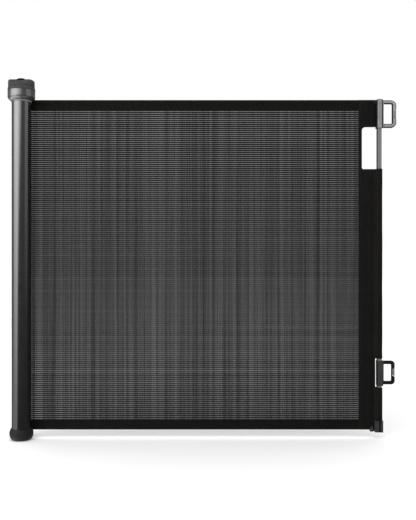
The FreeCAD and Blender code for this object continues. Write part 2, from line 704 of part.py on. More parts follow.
def makeShoe():
    """The bottom end fitting: a block round the bar's end with a tongue on its front and a clamp fin."""
    x, y = (size["shoeLeft"], size["fitRight"] + 0.4), (size["fitFront"], size["fitBack"])
    z = (size["shoeBottom"], size["shoeTop"])
    case = roundedEdges("shoeCase", box("shoeBlock", x, y, z), 2.5, isVertical)
    tongue = newBody("shoeTongue")
    left, right, bend = 896.9, 908.1, 5.8
    pad(tongue, "shoeTonguePad", "XZ_Plane", [
        (left, size["shoeBottom"] + 1.2), (right, size["shoeBottom"] + 1.2),
        (right, size["shoeTop"] - 6, bend), (left, size["shoeTop"] - 6),
    ], (size["fitFront"] - 1.6, size["fitFront"] + 1))
    clamp = newBody("shoeFin")
    fin(clamp, "shoeFinPad", [
        (882.7, 20.6), (885, 15.8), (891.8, 15.8), (891.8, 17), (897, 17), (897, 21), (891.8, 21),
        (891.8, 30), (889.6, 30),
    ])
    room = barRoom("shoeRoom", (size["barBottom"] - 0.05, size["shoeTop"] + 1))
    hole = rodAlongY("shoeHole", screwHole, screwX, (size["barBack"] - 1, size["fitBack"] + 1),
                     rearScrewHeights["shoe"])
    solid = fuse("bottomFittingSolid", case, tongue, clamp)
    keep("bottom_fitting", cut("bottomFitting", solid, room, hole))


def makeBarScrews():
    made = []
    backs = {"clip": size["clipBack"], "shoe": size["fitBack"]}
    for name, height in rearScrewHeights.items():
        back = backs[name]
        shank = rodAlongY(f"{name}ScrewShank", 1.5, screwX, (size["barBack"] - 3, back), height)
        head = rodAlongY(f"{name}ScrewHead", 3, screwX, (back, back + 1.6), height)
        driver = rodAlongY(f"{name}ScrewDriver", 1.2, screwX, (back + 0.8, back + 2), height)
        made.append(cut(f"{name}Screw", fuse(f"{name}ScrewWhole", shank, head), driver))
    keep("bar_screws", group("barScrews", *made))


barRound, insertRound = 3, 2.4


def slanted(right, notches, depth, slant, slit):
    """A four-cornered outline that narrows inwards; slit draws its ends in."""
    low, high = notches
    inner = right - depth
    past = 0 if slit else 3
    more = past * slant / depth
    return [
        (inner, low + slant + slit), (right + past, low + slit - more),
        (right + past, high - slit + more), (inner, high - slant - slit),
    ]


def makeLoop(label, name, x, z, window, y, corner, notches):
    """A D loop of rounded bar, with an insert in its outer bar between two slanted gaps."""
    (left, right), (low, high) = x, z
    ring = flat(name + "Ring", [
        (left, low), (right - corner, low, corner), (right, low + corner),
        (right, high - corner, corner), (right - corner, high), (left, high),
    ], y)
    (inLeft, inRight), (inLow, inHigh) = window
    inside = 3
    hollow = flat(name + "Hollow", [
        (inLeft, inLow), (inRight - inside, inLow, inside), (inRight, inLow + inside),
        (inRight, inHigh - inside, inside), (inRight - inside, inHigh), (inLeft, inHigh),
    ], around(y, 1))
    frame = cut(name + "Frame", ring, hollow)
    frame = roundedEdges(name + "Soft", frame, barRound,
                         lambda e: isFlatInY(e) and e.BoundBox.XMax > inLeft + 1)
    depth, slant, slit = 7, 4, 1.1
    seat = flat(name + "Seat", slanted(right, notches, depth, slant, 0), around(y, 1))
    keep(label, cut(name, frame, seat))
    strip = slanted(right - 0.4, notches, depth - 0.5, slant, slit)
    stock = flat(name + "InsertStock", strip, around(y, -0.4))
    insert = roundedEdges(name + "Insert", stock, insertRound, lambda e: isAtSide(e, right.value - 0.4))
    keep(label + "_insert", insert)


def makeLoops():
    root, y = size["fitRight"], (size["loopFront"], size["loopBack"])
    makeLoop("upper_loop", "upperLoop", (root + 0.05, root + 35.3), (sized(790), size["fitTop"] - 2.1),
             ((918.9, 940.8), (799.9, 850.4)), y, size["loopCorner"], (811, 837))
    makeLoop("lower_loop", "lowerLoop", (root + 0.65, root + 31.5), (sized(135.9), sized(196.4)),
             ((919, 938.8), (144.6, 187.4)), around(y, -0.8), sized(9.5), (155, 180))


handCorner = 8


def makeBand():
    front, back = size["bandFront"], size["bandFront"] + size["bandThick"]
    low, high = size["clothBottom"], size["clothTop"]
    edge = size["fitLeft"] - 0.1
    shoe = size["shoeLeft"] - 0.2
    web = flat("bandWeb", [
        (size["bandLeft"], low), (shoe, low), (shoe, size["shoeTop"] + 0.2), (edge, size["shoeTop"] + 0.2),
        (edge, high), (size["bandLeft"], high),
    ], (front, back))
    wall = size["sleeveWall"]
    outerY = around(barY, wall + 0.1)
    sleeve = box("bandSleeve", (edge - 0.2, size["bandRight"]), outerY,
                 (size["shoeTop"] + 0.2, size["handBottom"]))
    sleeve = roundedEdges("bandSleeveRound", sleeve, 1.7, lambda e: isVertical(e) and e.BoundBox.XMin > 910)
    room = barRoom("bandRoom", (size["shoeTop"] - 1, size["handBottom"] + 1))
    past = (0, 40)
    hand = box("bandHandBox", (size["handLeft"], size["bandRight"]), past,
               (size["handBottom"], size["handTop"]))
    hand = roundedEdges("bandHandHole", hand, handCorner,
                        lambda e: isAlongY(e) and e.BoundBox.XMax < size["handLeft"].value + 1)
    lower = box("bandLowerCut", (896.2, size["bandRight"] + 2), past, (size["cutBottom"], size["cutTop"]))
    keep("lead_band", cut("leadBand", fuse("bandSolid", web, sleeve), room, hand, lower))


def makeScreen():
    right = size["bandLeft"] - 0.1
    front = size["clothFront"]
    low, high = size["clothBottom"], size["clothTop"]
    split = 0.1
    mesh = box("meshScreen", (1, right), (front, front + size["clothThick"]),
               (low + size["bottomHem"], high - size["topHem"]))
    keep("mesh_screen", mesh)
    hem = (front, front + size["hemThick"])
    keep("top_hem", box("topHemStrip", (1, right), hem, (high - size["topHem"] + split, high)))
    keep("bottom_hem", box("bottomHemStrip", (1, right), hem, (low, low + size["bottomHem"] - split)))


makeHousingTube()
makeTrimRing()
makeCollar()
makeHousingScrews()
makeFoot()
makeSpindle()
makeBrackets()
makeRoller()
makeRatchet()
makeLockRing()
makeKnob()
makeButton()
makeBar()
makeTopFitting()
makeClip()
makeShoe()
makeBarScrews()
makeLoops()
makeBand()
makeScreen()
doc.recompute()

broken = [o.Name for o in doc.Objects if {"Invalid", "Error"} & set(o.State)]
if broken:
    raise RuntimeError(f"objects that did not recompute: {broken}")
for item in subParts:
    if item.Shape.isNull() or not item.Shape.isValid():
        raise RuntimeError(f"{item.Label} has no valid shape")

os.makedirs("parts", exist_ok=True)
for item in subParts:
    item.Shape.exportStep(f"parts/{item.Label}.step")
    print(f"{item.Label:24s} {len(item.Shape.Solids)} solid(s) {item.Shape.Volume:12.0f} mm3")
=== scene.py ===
import json
import math

import bpy
import numpy as np
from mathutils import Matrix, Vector


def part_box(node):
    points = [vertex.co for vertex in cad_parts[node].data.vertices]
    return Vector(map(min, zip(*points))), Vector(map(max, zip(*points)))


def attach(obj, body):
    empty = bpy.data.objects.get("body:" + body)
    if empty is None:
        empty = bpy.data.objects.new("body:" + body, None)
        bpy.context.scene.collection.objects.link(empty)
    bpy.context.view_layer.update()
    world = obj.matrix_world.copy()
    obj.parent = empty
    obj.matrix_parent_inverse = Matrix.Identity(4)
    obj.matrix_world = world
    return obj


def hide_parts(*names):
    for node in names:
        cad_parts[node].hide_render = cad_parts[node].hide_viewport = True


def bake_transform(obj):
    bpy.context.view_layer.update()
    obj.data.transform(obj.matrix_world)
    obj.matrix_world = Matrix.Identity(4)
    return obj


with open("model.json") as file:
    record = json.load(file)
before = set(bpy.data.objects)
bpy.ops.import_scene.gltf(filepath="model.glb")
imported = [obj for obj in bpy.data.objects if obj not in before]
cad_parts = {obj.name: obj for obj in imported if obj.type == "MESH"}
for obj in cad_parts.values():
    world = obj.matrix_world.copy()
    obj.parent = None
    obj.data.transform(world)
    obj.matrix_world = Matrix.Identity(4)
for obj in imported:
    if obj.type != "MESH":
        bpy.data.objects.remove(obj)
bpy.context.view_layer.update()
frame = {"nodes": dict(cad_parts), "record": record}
nodes = frame["nodes"]
print("frame in place,", len(nodes), "parts")

scene = bpy.context.scene
scene.view_settings.view_transform = "Standard"
scene.view_settings.look = "None"

mm = 0.001


# a part's lowest and highest corner, in millimetres
def boxOf(node):
    return np.array(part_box(node)) / mm


# quads between the neighbours of a rows x columns grid of points
def gridSurface(points, closeRows=False, closeColumns=False, flip=False):
    rows, columns = points.shape[:2]
    index = np.arange(rows * columns).reshape(rows, columns)
    if closeRows:
        index = np.vstack([index, index[:1]])
    if closeColumns:
        index = np.hstack([index, index[:, :1]])
    quads = np.stack([index[:-1, :-1], index[:-1, 1:], index[1:, 1:], index[1:, :-1]], -1).reshape(-1, 4)
    return {"points": points.reshape(-1, 3), "faces": quads[:, ::-1] if flip else quads, "slot": 0}


# one face over a closed ring of points
def endFace(ring, flip=False):
    order = np.arange(len(ring))[None, :]
    return {"points": ring, "faces": order[:, ::-1] if flip else order, "slot": 0}


# a mesh object at the origin, from surfaces that keep their own place in metres
def makePiece(name, surfaces, materials):
    points = np.concatenate([s["points"] for s in surfaces]).astype(np.float32)
    starts = np.cumsum([0] + [len(s["points"]) for s in surfaces])
    corners = np.concatenate([(s["faces"] + start).ravel() for s, start in zip(surfaces, starts)])
    sides = np.concatenate([np.full(len(s["faces"]), s["faces"].shape[1]) for s in surfaces])
    slots = np.concatenate([np.full(len(s["faces"]), s["slot"]) for s in surfaces])
    mesh = bpy.data.meshes.new(name)
    mesh.vertices.add(len(points))
    mesh.vertices.foreach_set("co", points.ravel())
    mesh.loops.add(len(corners))
    mesh.loops.foreach_set("vertex_index", corners.astype(np.int32))
    mesh.polygons.add(len(sides))
    mesh.polygons.foreach_set("loop_start", (np.cumsum(sides) - sides).astype(np.int32))
    for material in materials:
        mesh.materials.append(material)
    mesh.polygons.foreach_set("material_index", slots.astype(np.int32))
    mesh.update(calc_edges=True)
    mesh.validate()
    mesh.shade_smooth()
    piece = bpy.data.objects.new(name, mesh)
    scene.collection.objects.link(piece)
    return piece


# rises from 0 to 1 as t goes from 0 to 1: three t squared less two t cubed
def smoothStep(t):
    t = np.clip(t, 0, 1)
    return t * t * (3 - 2 * t)


thread = {"pitch": 3.4, "length": 2.5, "radius": 0.2, "lift": 0.1, "stations": 5, "sides": 6}


# stitches along a path in mm: six-sided capsules at an even pitch, whose middles a cosine lifts off the
# cloth; they take the second material, and the cloth the first
def stitches(path, normal):
    t = thread
    along = np.concatenate([[0], np.cumsum(np.linalg.norm(np.diff(path, axis=0), axis=1))])
    count = max(1, int(along[-1] / t["pitch"]))
    station = np.linspace(-0.5, 0.5, t["stations"])
    at = ((np.arange(count) + 0.5) * along[-1] / count)[:, None] + station * t["length"]
    place = np.stack([np.interp(at, along, path[:, k]) for k in range(3)], -1)
    ahead = place[:, -1:] - place[:, :1]
    ahead /= np.linalg.norm(ahead, axis=-1, keepdims=True)
    up = np.broadcast_to(np.asarray(normal, float), ahead.shape)
    side = np.cross(up, ahead)
    place = place + t["lift"] * np.cos(np.pi * station)[None, :, None] * up
    thick = t["radius"] * np.sqrt(np.clip(1 - (2 * station) ** 4, 0.12, 1))[None, :, None, None]
    turn = np.linspace(0, 2 * np.pi, t["sides"], endpoint=False)[None, None, :, None]
    rings = place[:, :, None] + thick * (np.cos(turn) * side[:, :, None] + np.sin(turn) * up[:, :, None])
    index = np.arange(count * t["stations"] * t["sides"]).reshape(count, t["stations"], t["sides"])
    around = np.concatenate([index, index[:, :, :1]], 2)
    quads = np.stack([around[:, :-1, :-1], around[:, :-1, 1:], around[:, 1:, 1:], around[:, 1:, :-1]], -1)
    first, last = index[:, 0], index[:, -1]
    ends = [first[:, [3, 2, 1, 0]], first[:, [5, 4, 3, 0]], last[:, :4], last[:, [0, 3, 4, 5]]]
    faces = np.concatenate([quads.reshape(-1, 4), *ends])
    return {"points": rings.reshape(-1, 3) * mm, "faces": faces, "slot": 1}


# an empty node group with named inputs and outputs
def newGroup(name, inputs, outputs):
    group = bpy.data.node_groups.new(name, "ShaderNodeTree")
    for socketName, kind, value in inputs:
        socket = group.interface.new_socket(socketName, in_out="INPUT", socket_type=kind)
        if value is not None:
            socket.default_value = value
    for socketName in outputs:
        group.interface.new_socket(socketName, in_out="OUTPUT", socket_type="NodeSocketFloat")
    return group, group.nodes.new("NodeGroupInput").outputs, group.nodes.new("NodeGroupOutput").inputs


# a Math node; each value is a number or a socket
def maths(tree, operation, *values):
    node = tree.nodes.new("ShaderNodeMath")
    node.operation = operation
    for socket, value in zip(node.inputs, values):
        if isinstance(value, (int, float)):
            socket.default_value = value
        else:
            tree.links.new(value, socket)
    return node.outputs[0]


def total(tree, *values):
    result = values[0]
    for value in values[1:]:
        result = maths(tree, "ADD", result, value)
    return result


def product(tree, *values):
    result = values[0]
    for value in values[1:]:
        result = maths(tree, "MULTIPLY", result, value)
    return result


# carries a value from one range to another, by a smooth step or in a straight line
def remap(tree, value, low, high, toLow=0.0, toHigh=1.0, kind="SMOOTHSTEP"):
    node = tree.nodes.new("ShaderNodeMapRange")
    node.interpolation_type = kind
    tree.links.new(value, node.inputs[0])
    for k, number in enumerate((low, high, toLow, toHigh), start=1):
        node.inputs[k].default_value = number
    return node.outputs[0]


def noise(tree, vector, scale, detail=2.0, roughness=0.5):
    node = tree.nodes.new("ShaderNodeTexNoise")
    for word, value in (("Scale", scale), ("Detail", detail), ("Roughness", roughness)):
        node.inputs[word].default_value = value
    tree.links.new(vector, node.inputs["Vector"])
    return node.outputs[0]


# multiplies a position by three factors, so that a pattern runs longer one way
def stretched(tree, vector, x, y, z):
    node = tree.nodes.new("ShaderNodeVectorMath")
    node.operation = "MULTIPLY"
    node.inputs[1].default_value = (x, y, z)
    tree.links.new(vector, node.inputs[0])
    return node.outputs[0]


def axes(tree, vector):
    node = tree.nodes.new("ShaderNodeSeparateXYZ")
    tree.links.new(vector, node.inputs[0])
    return node.outputs


# waves across a coordinate: 0 to 1 and back in each pitch, as the size of a sine
def threadsAcross(tree, value):
    return maths(tree, "ABSOLUTE", maths(tree, "SINE", product(tree, value, math.pi)))


# moulded grain: the distance from scattered cells, softened by noise, and a slow cloud
def mouldGrainGroup():
    group, into, out = newGroup("mouldGrain", [("Position", "NodeSocketVector", None),
                                               ("Cells per metre", "NodeSocketFloat", 1800.0)],
                                ["Height", "Cloud"])
    cells = group.nodes.new("ShaderNodeTexVoronoi")
    fine = group.nodes.new("ShaderNodeTexNoise")
    group.links.new(into["Position"], cells.inputs["Vector"])
    group.links.new(into["Position"], fine.inputs["Vector"])
    group.links.new(into["Cells per metre"], cells.inputs["Scale"])
    group.links.new(product(group, into["Cells per metre"], 0.6), fine.inputs["Scale"])
    fine.inputs["Detail"].default_value = 3
    height = total(group, product(group, cells.outputs["Distance"], 0.6),
                   product(group, fine.outputs[0], 0.5))
    group.links.new(height, out["Height"])
    group.links.new(noise(group, into["Position"], 35.0, 3.0, 0.6), out["Cloud"])
    return group


# rub marks: thin bands where a long noise crosses its middle, kept only in patches, and fine lines along Z
def rubMarksGroup():
    group, into, out = newGroup("rubMarks", [("Position", "NodeSocketVector", None),
                                             ("Amount", "NodeSocketFloat", 0.5)], ["Marks", "Lines"])
    lines = noise(group, stretched(group, into["Position"], 1.0, 1.0, 0.035), 900.0, 2.0, 0.6)
    across = noise(group, stretched(group, into["Position"], 0.2, 0.2, 1.0), 260.0, 1.0)
    offMiddle = maths(group, "ABSOLUTE", maths(group, "SUBTRACT", across, 0.5))
    hair = remap(group, offMiddle, 0.0, 0.012, 1.0, 0.0)
    patches = remap(group, noise(group, into["Position"], 22.0), 0.58, 0.72)
    group.links.new(product(group, hair, patches, into["Amount"]), out["Marks"])
    group.links.new(lines, out["Lines"])
    return group


# plain weave: round threads both ways, and the one on top changes like a chessboard
def threadWeaveGroup():
    group, into, out = newGroup("threadWeave", [("Position", "NodeSocketVector", None),
                                                ("Across pitch", "NodeSocketFloat", 0.001),
                                                ("Up pitch", "NodeSocketFloat", 0.001),
                                                ("Unevenness", "NodeSocketFloat", 0.15)],
                                ["Height", "Across thread", "Up thread", "Thread tone"])
    parts = axes(group, into["Position"])
    wander = product(group, maths(group, "SUBTRACT", noise(group, into["Position"], 90.0), 0.5),
                     into["Unevenness"])
    across = total(group, maths(group, "DIVIDE", parts[0], into["Across pitch"]), wander)
    up = total(group, maths(group, "DIVIDE", parts[2], into["Up pitch"]), wander)
    upThread, acrossThread = threadsAcross(group, across), threadsAcross(group, up)
    squares = total(group, maths(group, "FLOOR", across), maths(group, "FLOOR", up))
    chess = maths(group, "PINGPONG", squares, 1.0)
    over = total(group, product(group, upThread, chess),
                 product(group, acrossThread, maths(group, "SUBTRACT", 1.0, chess)))
    height = total(group, product(group, over, 0.7),
                   product(group, maths(group, "MAXIMUM", upThread, acrossThread), 0.3))
    slubsUp = noise(group, stretched(group, into["Position"], 1.0, 1.0, 0.02), 260.0)
    slubsAcross = noise(group, stretched(group, into["Position"], 0.02, 1.0, 1.0), 260.0)
    group.links.new(height, out["Height"])
    group.links.new(acrossThread, out["Across thread"])
    group.links.new(upThread, out["Up thread"])
    group.links.new(product(group, total(group, slubsUp, slubsAcross), 0.5), out["Thread tone"])
    return group


mouldGrain, rubMarks, threadWeave = mouldGrainGroup(), rubMarksGroup(), threadWeaveGroup()


def startMaterial(name, **sockets):
    material = bpy.data.materials.new(name)
    material.use_nodes = True
    tree = material.node_tree
    shader = tree.nodes["Principled BSDF"]
    for word, value in sockets.items():
        shader.inputs[word.replace("_", " ")].default_value = value
    position = tree.nodes.new("ShaderNodeTexCoord").outputs["Object"]
    return material, tree, shader.inputs, position


def useGroup(tree, group, position, **values):
    node = tree.nodes.new("ShaderNodeGroup")
    node.node_tree = group
    tree.links.new(position, node.inputs["Position"])
    for word, value in values.items():
        node.inputs[word.replace("_", " ")].default_value = value
    return node.outputs


# each colour is a grey, three numbers or a socket
def mixColour(tree, factor, first, second):
    node = tree.nodes.new("ShaderNodeMix")
    node.data_type = "RGBA"
    tree.links.new(factor, node.inputs["Factor"])
    for socket, value in ((node.inputs[6], first), (node.inputs[7], second)):
        if isinstance(value, (int, float)):
            value = (value, value, value)
        if isinstance(value, tuple):
            socket.default_value = (*value, 1.0)
        else:
            tree.links.new(value, socket)
    return node.outputs[2]


def bump(tree, shader, height, distance, strength=1.0):
    node = tree.nodes.new("ShaderNodeBump")
    node.inputs["Distance"].default_value = distance
    node.inputs["Strength"].default_value = strength
    tree.links.new(height, node.inputs["Height"])
    tree.links.new(node.outputs["Normal"], shader["Normal"])


# 1 between low and high along one axis, in mm, with edges of the given softness
def stretchOf(tree, value, low, high, soft):
    rise = remap(tree, value, (low - soft) * mm, (low + soft) * mm)
    fall = remap(tree, value, (high - soft) * mm, (high + soft) * mm, 1.0, 0.0)
    return product(tree, rise, fall)


# moulded or painted finish: two close tones in a cloud, pebbled grain, and hairline rubs that dull it;
# where faces lists X and Y ranges in mm, those stretches take a tone of their own, which on the fitting,
# clip and loop is a painted highlight on the front face over painted shade on the sides, and on the shoe a
# near-black strip
def moulded(name, tone, spread, rough, cells=2000.0, depth=0.00004, level=0.4, marks=0.4, faces=()):
    material, tree, shader, position = startMaterial(name, Specular_IOR_Level=level)
    grain = useGroup(tree, mouldGrain, position, Cells_per_metre=cells)
    rubs = useGroup(tree, rubMarks, position, Amount=marks)
    cloud = remap(tree, grain["Cloud"], 0.3, 0.7)
    colour = mixColour(tree, cloud, tone * (1 - spread), tone * (1 + spread))
    place = axes(tree, position)
    # each stretch is a flat tone mixed in by position: painted highlight on the fronts of the fitting, clip
    # and loop
    for faceTone, xRange, yRange, soft in faces:
        mask = product(tree, stretchOf(tree, place[0], *xRange, soft),
                       stretchOf(tree, place[1], *yRange, soft))
        faceColour = mixColour(tree, cloud, faceTone * (1 - spread), faceTone * (1 + spread))
        colour = mixColour(tree, mask, colour, faceColour)
    tree.links.new(mixColour(tree, rubs["Marks"], colour, tone * 1.5 + 0.012), shader["Base Color"])
    gloss = total(tree, remap(tree, grain["Cloud"], 0.25, 0.75, *rough), product(tree, rubs["Marks"], 0.15))
    tree.links.new(gloss, shader["Roughness"])
    bump(tree, shader, total(tree, grain["Height"], product(tree, rubs["Marks"], -0.6)), depth)
    return material


# extruded or turned metal: fine lines along its length vary its tone, gloss and height; where front is
# given, everything behind depthIn, over a 0.8 mm blend, takes the shadedSideShare of the tone, which is
# painted shade on the sides
def drawnMetal(name, dark, light, rough, metallic=1.0, depth=0.000012, level=0.5, front=None):
    material, tree, shader, position = startMaterial(name, Metallic=metallic, Specular_IOR_Level=level)
    rubs = useGroup(tree, rubMarks, position, Amount=0.6)
    lines = remap(tree, rubs["Lines"], 0.3, 0.7)
    blend = product(tree, total(tree, lines, noise(tree, position, 30.0, 3.0)), 0.5)
    tone = mixColour(tree, blend, dark, light)
    if front:
        depthIn, shadedSideShare = front
        mask = remap(tree, axes(tree, position)[1], depthIn * mm, (depthIn + 0.8) * mm)
        tone = mixColour(tree, mask, tone, mixColour(tree, blend, dark * shadedSideShare, light * shadedSideShare))
    tree.links.new(mixColour(tree, rubs["Marks"], tone, light * 1.3 + 0.02), shader["Base Color"])
    tree.links.new(remap(tree, blend, 0.2, 0.8, *rough), shader["Roughness"])
    bump(tree, shader, maths(tree, "SUBTRACT", lines, rubs["Marks"]), depth)
    return material


# gloss paint on a drawn tube: near-black with faint lines under a slightly rippled gloss
def glossTube():
    material, tree, shader, position = startMaterial("tubePaint", Specular_IOR_Level=0.95)
    rubs = useGroup(tree, rubMarks, position, Amount=0.5)
    grain = useGroup(tree, mouldGrain, position, Cells_per_metre=1400.0)
    lines = remap(tree, rubs["Lines"], 0.3, 0.7)
    tone = mixColour(tree, lines, (0.0065, 0.0066, 0.007), (0.009, 0.0091, 0.0096))
    tree.links.new(mixColour(tree, rubs["Marks"], tone, 0.05), shader["Base Color"])
    gloss = total(tree, remap(tree, grain["Cloud"], 0.25, 0.75, 0.17, 0.24),
                  product(tree, rubs["Marks"], 0.2))
    tree.links.new(gloss, shader["Roughness"])
    bump(tree, shader, total(tree, product(tree, rubs["Lines"], 0.7), grain["Height"]), 0.000006)
    return material


collar = {
    "glossTop": 879.2, "lineWidth": 0.9, "satinTone": 0.043, "glossTone": 0.024, "coatRough": 0.2,
    "coatIor": 1.68,
}


# the collar: satin above and clear gloss below a fine shaded line, over a base like the knob's
def collarPaint():
    c = collar
    material, tree, shader, position = startMaterial("collarPaint", Specular_IOR_Level=0.08,
                                                     Coat_Roughness=c["coatRough"], Coat_IOR=c["coatIor"])
    grain = useGroup(tree, mouldGrain, position, Cells_per_metre=2400.0)
    rubs = useGroup(tree, rubMarks, position, Amount=0.3)
    height = axes(tree, position)[2]
    line = c["glossTop"]
    satin = remap(tree, height, (line - 0.4) * mm, (line + 0.4) * mm)
    tone = mixColour(tree, satin, c["glossTone"], c["satinTone"])
    tone = mixColour(tree, product(tree, grain["Cloud"], 0.25), tone, 0.05)
    shade = stretchOf(tree, height, line - c["lineWidth"], line + c["lineWidth"], 0.4)
    tone = mixColour(tree, product(tree, shade, 0.55), tone, 0.004)
    tree.links.new(mixColour(tree, rubs["Marks"], tone, 0.08), shader["Base Color"])
    tree.links.new(remap(tree, grain["Cloud"], 0.25, 0.75, 0.5, 0.62), shader["Roughness"])
    tree.links.new(maths(tree, "SUBTRACT", 1.0, satin), shader["Coat Weight"])
    bump(tree, shader, total(tree, grain["Height"], product(tree, shade, -3.0)), 0.00002)
    return material


netting = {
    "threadAcross": 0.00148, "threadUp": 0.001275,    # metres from thread to thread
    "ribPitch": 0.00509, "topGap": 0.82175,           # the ribs are counted from the middle of this gap
    "gapShare": (0.37, 0.59), "openGap": 0.138, "openHole": 1.9, "openThread": 0.55,
    "darkRib": 0.0025, "gapTones": (0.015, 0.028), "plaidUp": 4.0, "plaidAcross": 1.4,
}


# see-through netting: fine round threads both ways, thick closed ribs across at an even pitch, gaps between
# them that let a little light by, and a faint plaid of long noises
def meshCloth():
    n = netting
    material, tree, shader, position = startMaterial("meshCloth", Specular_IOR_Level=0.12)
    weave = useGroup(tree, threadWeave, position, Across_pitch=n["threadAcross"], Up_pitch=n["threadUp"],
                     Unevenness=0.12)
    height = axes(tree, position)[2]
    turns = maths(tree, "DIVIDE", maths(tree, "SUBTRACT", height, n["topGap"]), n["ribPitch"])
    gaps = remap(tree, maths(tree, "COSINE", product(tree, turns, 2 * math.pi)), *n["gapShare"])
    plaidUp = noise(tree, stretched(tree, position, 1.0, 1.0, 0.004), 150.0, 3.0, 0.75)
    plaidAcross = noise(tree, stretched(tree, position, 0.004, 1.0, 1.0), 55.0, 3.0, 0.75)
    plaid = total(tree, product(tree, maths(tree, "SUBTRACT", plaidUp, 0.5), n["plaidUp"]),
                  product(tree, maths(tree, "SUBTRACT", plaidAcross, 0.5), n["plaidAcross"]))
    hole = product(tree, maths(tree, "SUBTRACT", 1.0, weave["Across thread"]),
                   maths(tree, "SUBTRACT", 1.0, product(tree, weave["Up thread"], 0.8)))
    openness = product(tree, gaps, total(tree, product(tree, hole, n["openHole"]), n["openThread"]),
                       total(tree, plaid, 1.0), n["openGap"])
    closed = maths(tree, "SUBTRACT", 1.0, maths(tree, "MAXIMUM", openness, 0.0))
    tree.links.new(closed, shader["Alpha"])
    tone = mixColour(tree, remap(tree, weave["Thread tone"], 0.35, 0.65), *n["gapTones"])
    tree.links.new(mixColour(tree, gaps, n["darkRib"], tone), shader["Base Color"])
    tree.links.new(remap(tree, weave["Height"], 0.0, 1.0, 0.75, 0.55), shader["Roughness"])
    bump(tree, shader, weave["Height"], 0.0003, 0.8)
    return material


# dense webbing: fine plain weave with slubs along both threads and a slow mottle from handling; the hollows
# between raised threads are painted darker, as painted shade
def wovenBand(name, dark, light, pitch=0.0009, depth=0.00022):
    material, tree, shader, position = startMaterial(name, Specular_IOR_Level=0.08)
    weave = useGroup(tree, threadWeave, position, Across_pitch=pitch, Up_pitch=pitch * 0.8, Unevenness=0.2)
    slow = remap(tree, noise(tree, position, 120.0, 4.0, 0.7), 0.3, 0.75, 0.0, 0.5)
    factor = total(tree, remap(tree, weave["Thread tone"], 0.35, 0.65, 0.0, 0.5), slow)
    # painted shade: the weave's hollows at 45% of the dark tone
    hollowShade = tuple(c * 0.45 for c in dark)
    raised = remap(tree, weave["Height"], 0.1, 0.7)
    shaded = mixColour(tree, raised, hollowShade, mixColour(tree, factor, dark, light))
    tree.links.new(shaded, shader["Base Color"])
    tree.links.new(remap(tree, weave["Height"], 0.0, 1.0, 0.9, 0.62), shader["Roughness"])
    bump(tree, shader, weave["Height"], depth)
    return material


# twisted thread: slanting ridges from a wave over the sum of X and Z, darker in the grooves between them as
# painted shade
def sewingThread():
    material, tree, shader, position = startMaterial("sewingThread", Specular_IOR_Level=0.15)
    place = axes(tree, position)
    twist = threadsAcross(tree, maths(tree, "DIVIDE", total(tree, place[0], place[2]), 0.0004))
    tree.links.new(mixColour(tree, twist, 0.005, 0.017), shader["Base Color"])
    tree.links.new(remap(tree, twist, 0.0, 1.0, 0.75, 0.5), shader["Roughness"])
    bump(tree, shader, twist, 0.0001)
    return material


bar, fitting, shoe = boxOf("pull_bar"), boxOf("top_fitting"), boxOf("bottom_fitting")
clip, upperLoop = boxOf("lower_clip"), boxOf("upper_loop")
# front strips in Y, from 3 mm before each part's front to just behind it, that take a painted highlight
litFrontOf = {name: (box[0][1] - 3, box[0][1] + depth) for name, box, depth in
           (("fitting", fitting, 0.7), ("clip", clip, 0.7), ("loop", upperLoop, 0.08))}
fittingLitFace = (bar[0][0] - 1, bar[1][0] - 0.7)

finishes = {
    "housing_gloss": glossTube(),
    "knob_gloss": moulded("knobShell", 0.043, 0.1, (0.5, 0.62), 2400.0, level=0.08, marks=0.3),
    "button_black": moulded("buttonBlack", 0.004, 0.3, (0.55, 0.65), 2200.0, 0.00002, 0.05),
    "trim_grey": moulded("trimGrey", 0.16, 0.12, (0.32, 0.45), depth=0.00002),
    "foot_black": moulded("footBlack", 0.010, 0.15, (0.55, 0.66), level=0.14),
    "pad_rubber": moulded("padRubber", 0.016, 0.3, (0.75, 0.9), 1200.0, 0.00012, 0.25),
    "bracket_paint": moulded("bracketPaint", 0.018, 0.2, (0.42, 0.56), 1300.0, 0.00006),
    "steel": drawnMetal("screwSteel", 0.42, 0.58, (0.25, 0.4)),
    "spring_steel": drawnMetal("springSteel", 0.30, 0.44, (0.28, 0.42)),
    "inner_plastic": moulded("innerPlastic", 0.022, 0.2, (0.5, 0.65), 1500.0),
    "bush_plastic": moulded("bushPlastic", 0.36, 0.1, (0.4, 0.55), 1500.0, 0.00003),
    "roller_aluminium": drawnMetal("rollerAluminium", 0.5, 0.66, (0.3, 0.45)),
    # painted shade: the bar's sides behind its front face darkened to 12% of its tone
    "bar_grey": drawnMetal("barGrey", 0.145, 0.178, (0.5, 0.6), 0.0, 0.00001, 0.06, (bar[0][1] + 0.6, 0.12)),
    # painted highlight: a pale front face on the dark fitting, whose darker sides stand for shade
    "fitting_grey": moulded("fittingGrey", 0.014, 0.12, (0.5, 0.6), level=0.1,
                            faces=[(0.20, fittingLitFace, litFrontOf["fitting"], 0.3)]),
    # painted highlight: a lighter front face on the clip over its darker sides
    "fitting_dark": moulded("fittingDark", 0.003, 0.2, (0.55, 0.65), depth=0.00005, level=0.05,
                            faces=[(0.034, (800, 1000), litFrontOf["clip"], 0.4)]),
    # painted highlight: a pale front ridge along the loop, over darker edges that stand for shade
    "loop_dark": moulded("loopDark", 0.012, 0.15, (0.42, 0.55), level=0.15,
                         faces=[(0.24, (800, 1000), litFrontOf["loop"], 0.06)]),
    "loop_insert": moulded("loopInsert", 0.14, 0.12, (0.4, 0.52)),
    "band_fabric": wovenBand("bandCloth", (0.0036, 0.0033, 0.0028), (0.0084, 0.0077, 0.0066)),
    "mesh_fabric": meshCloth(),
}
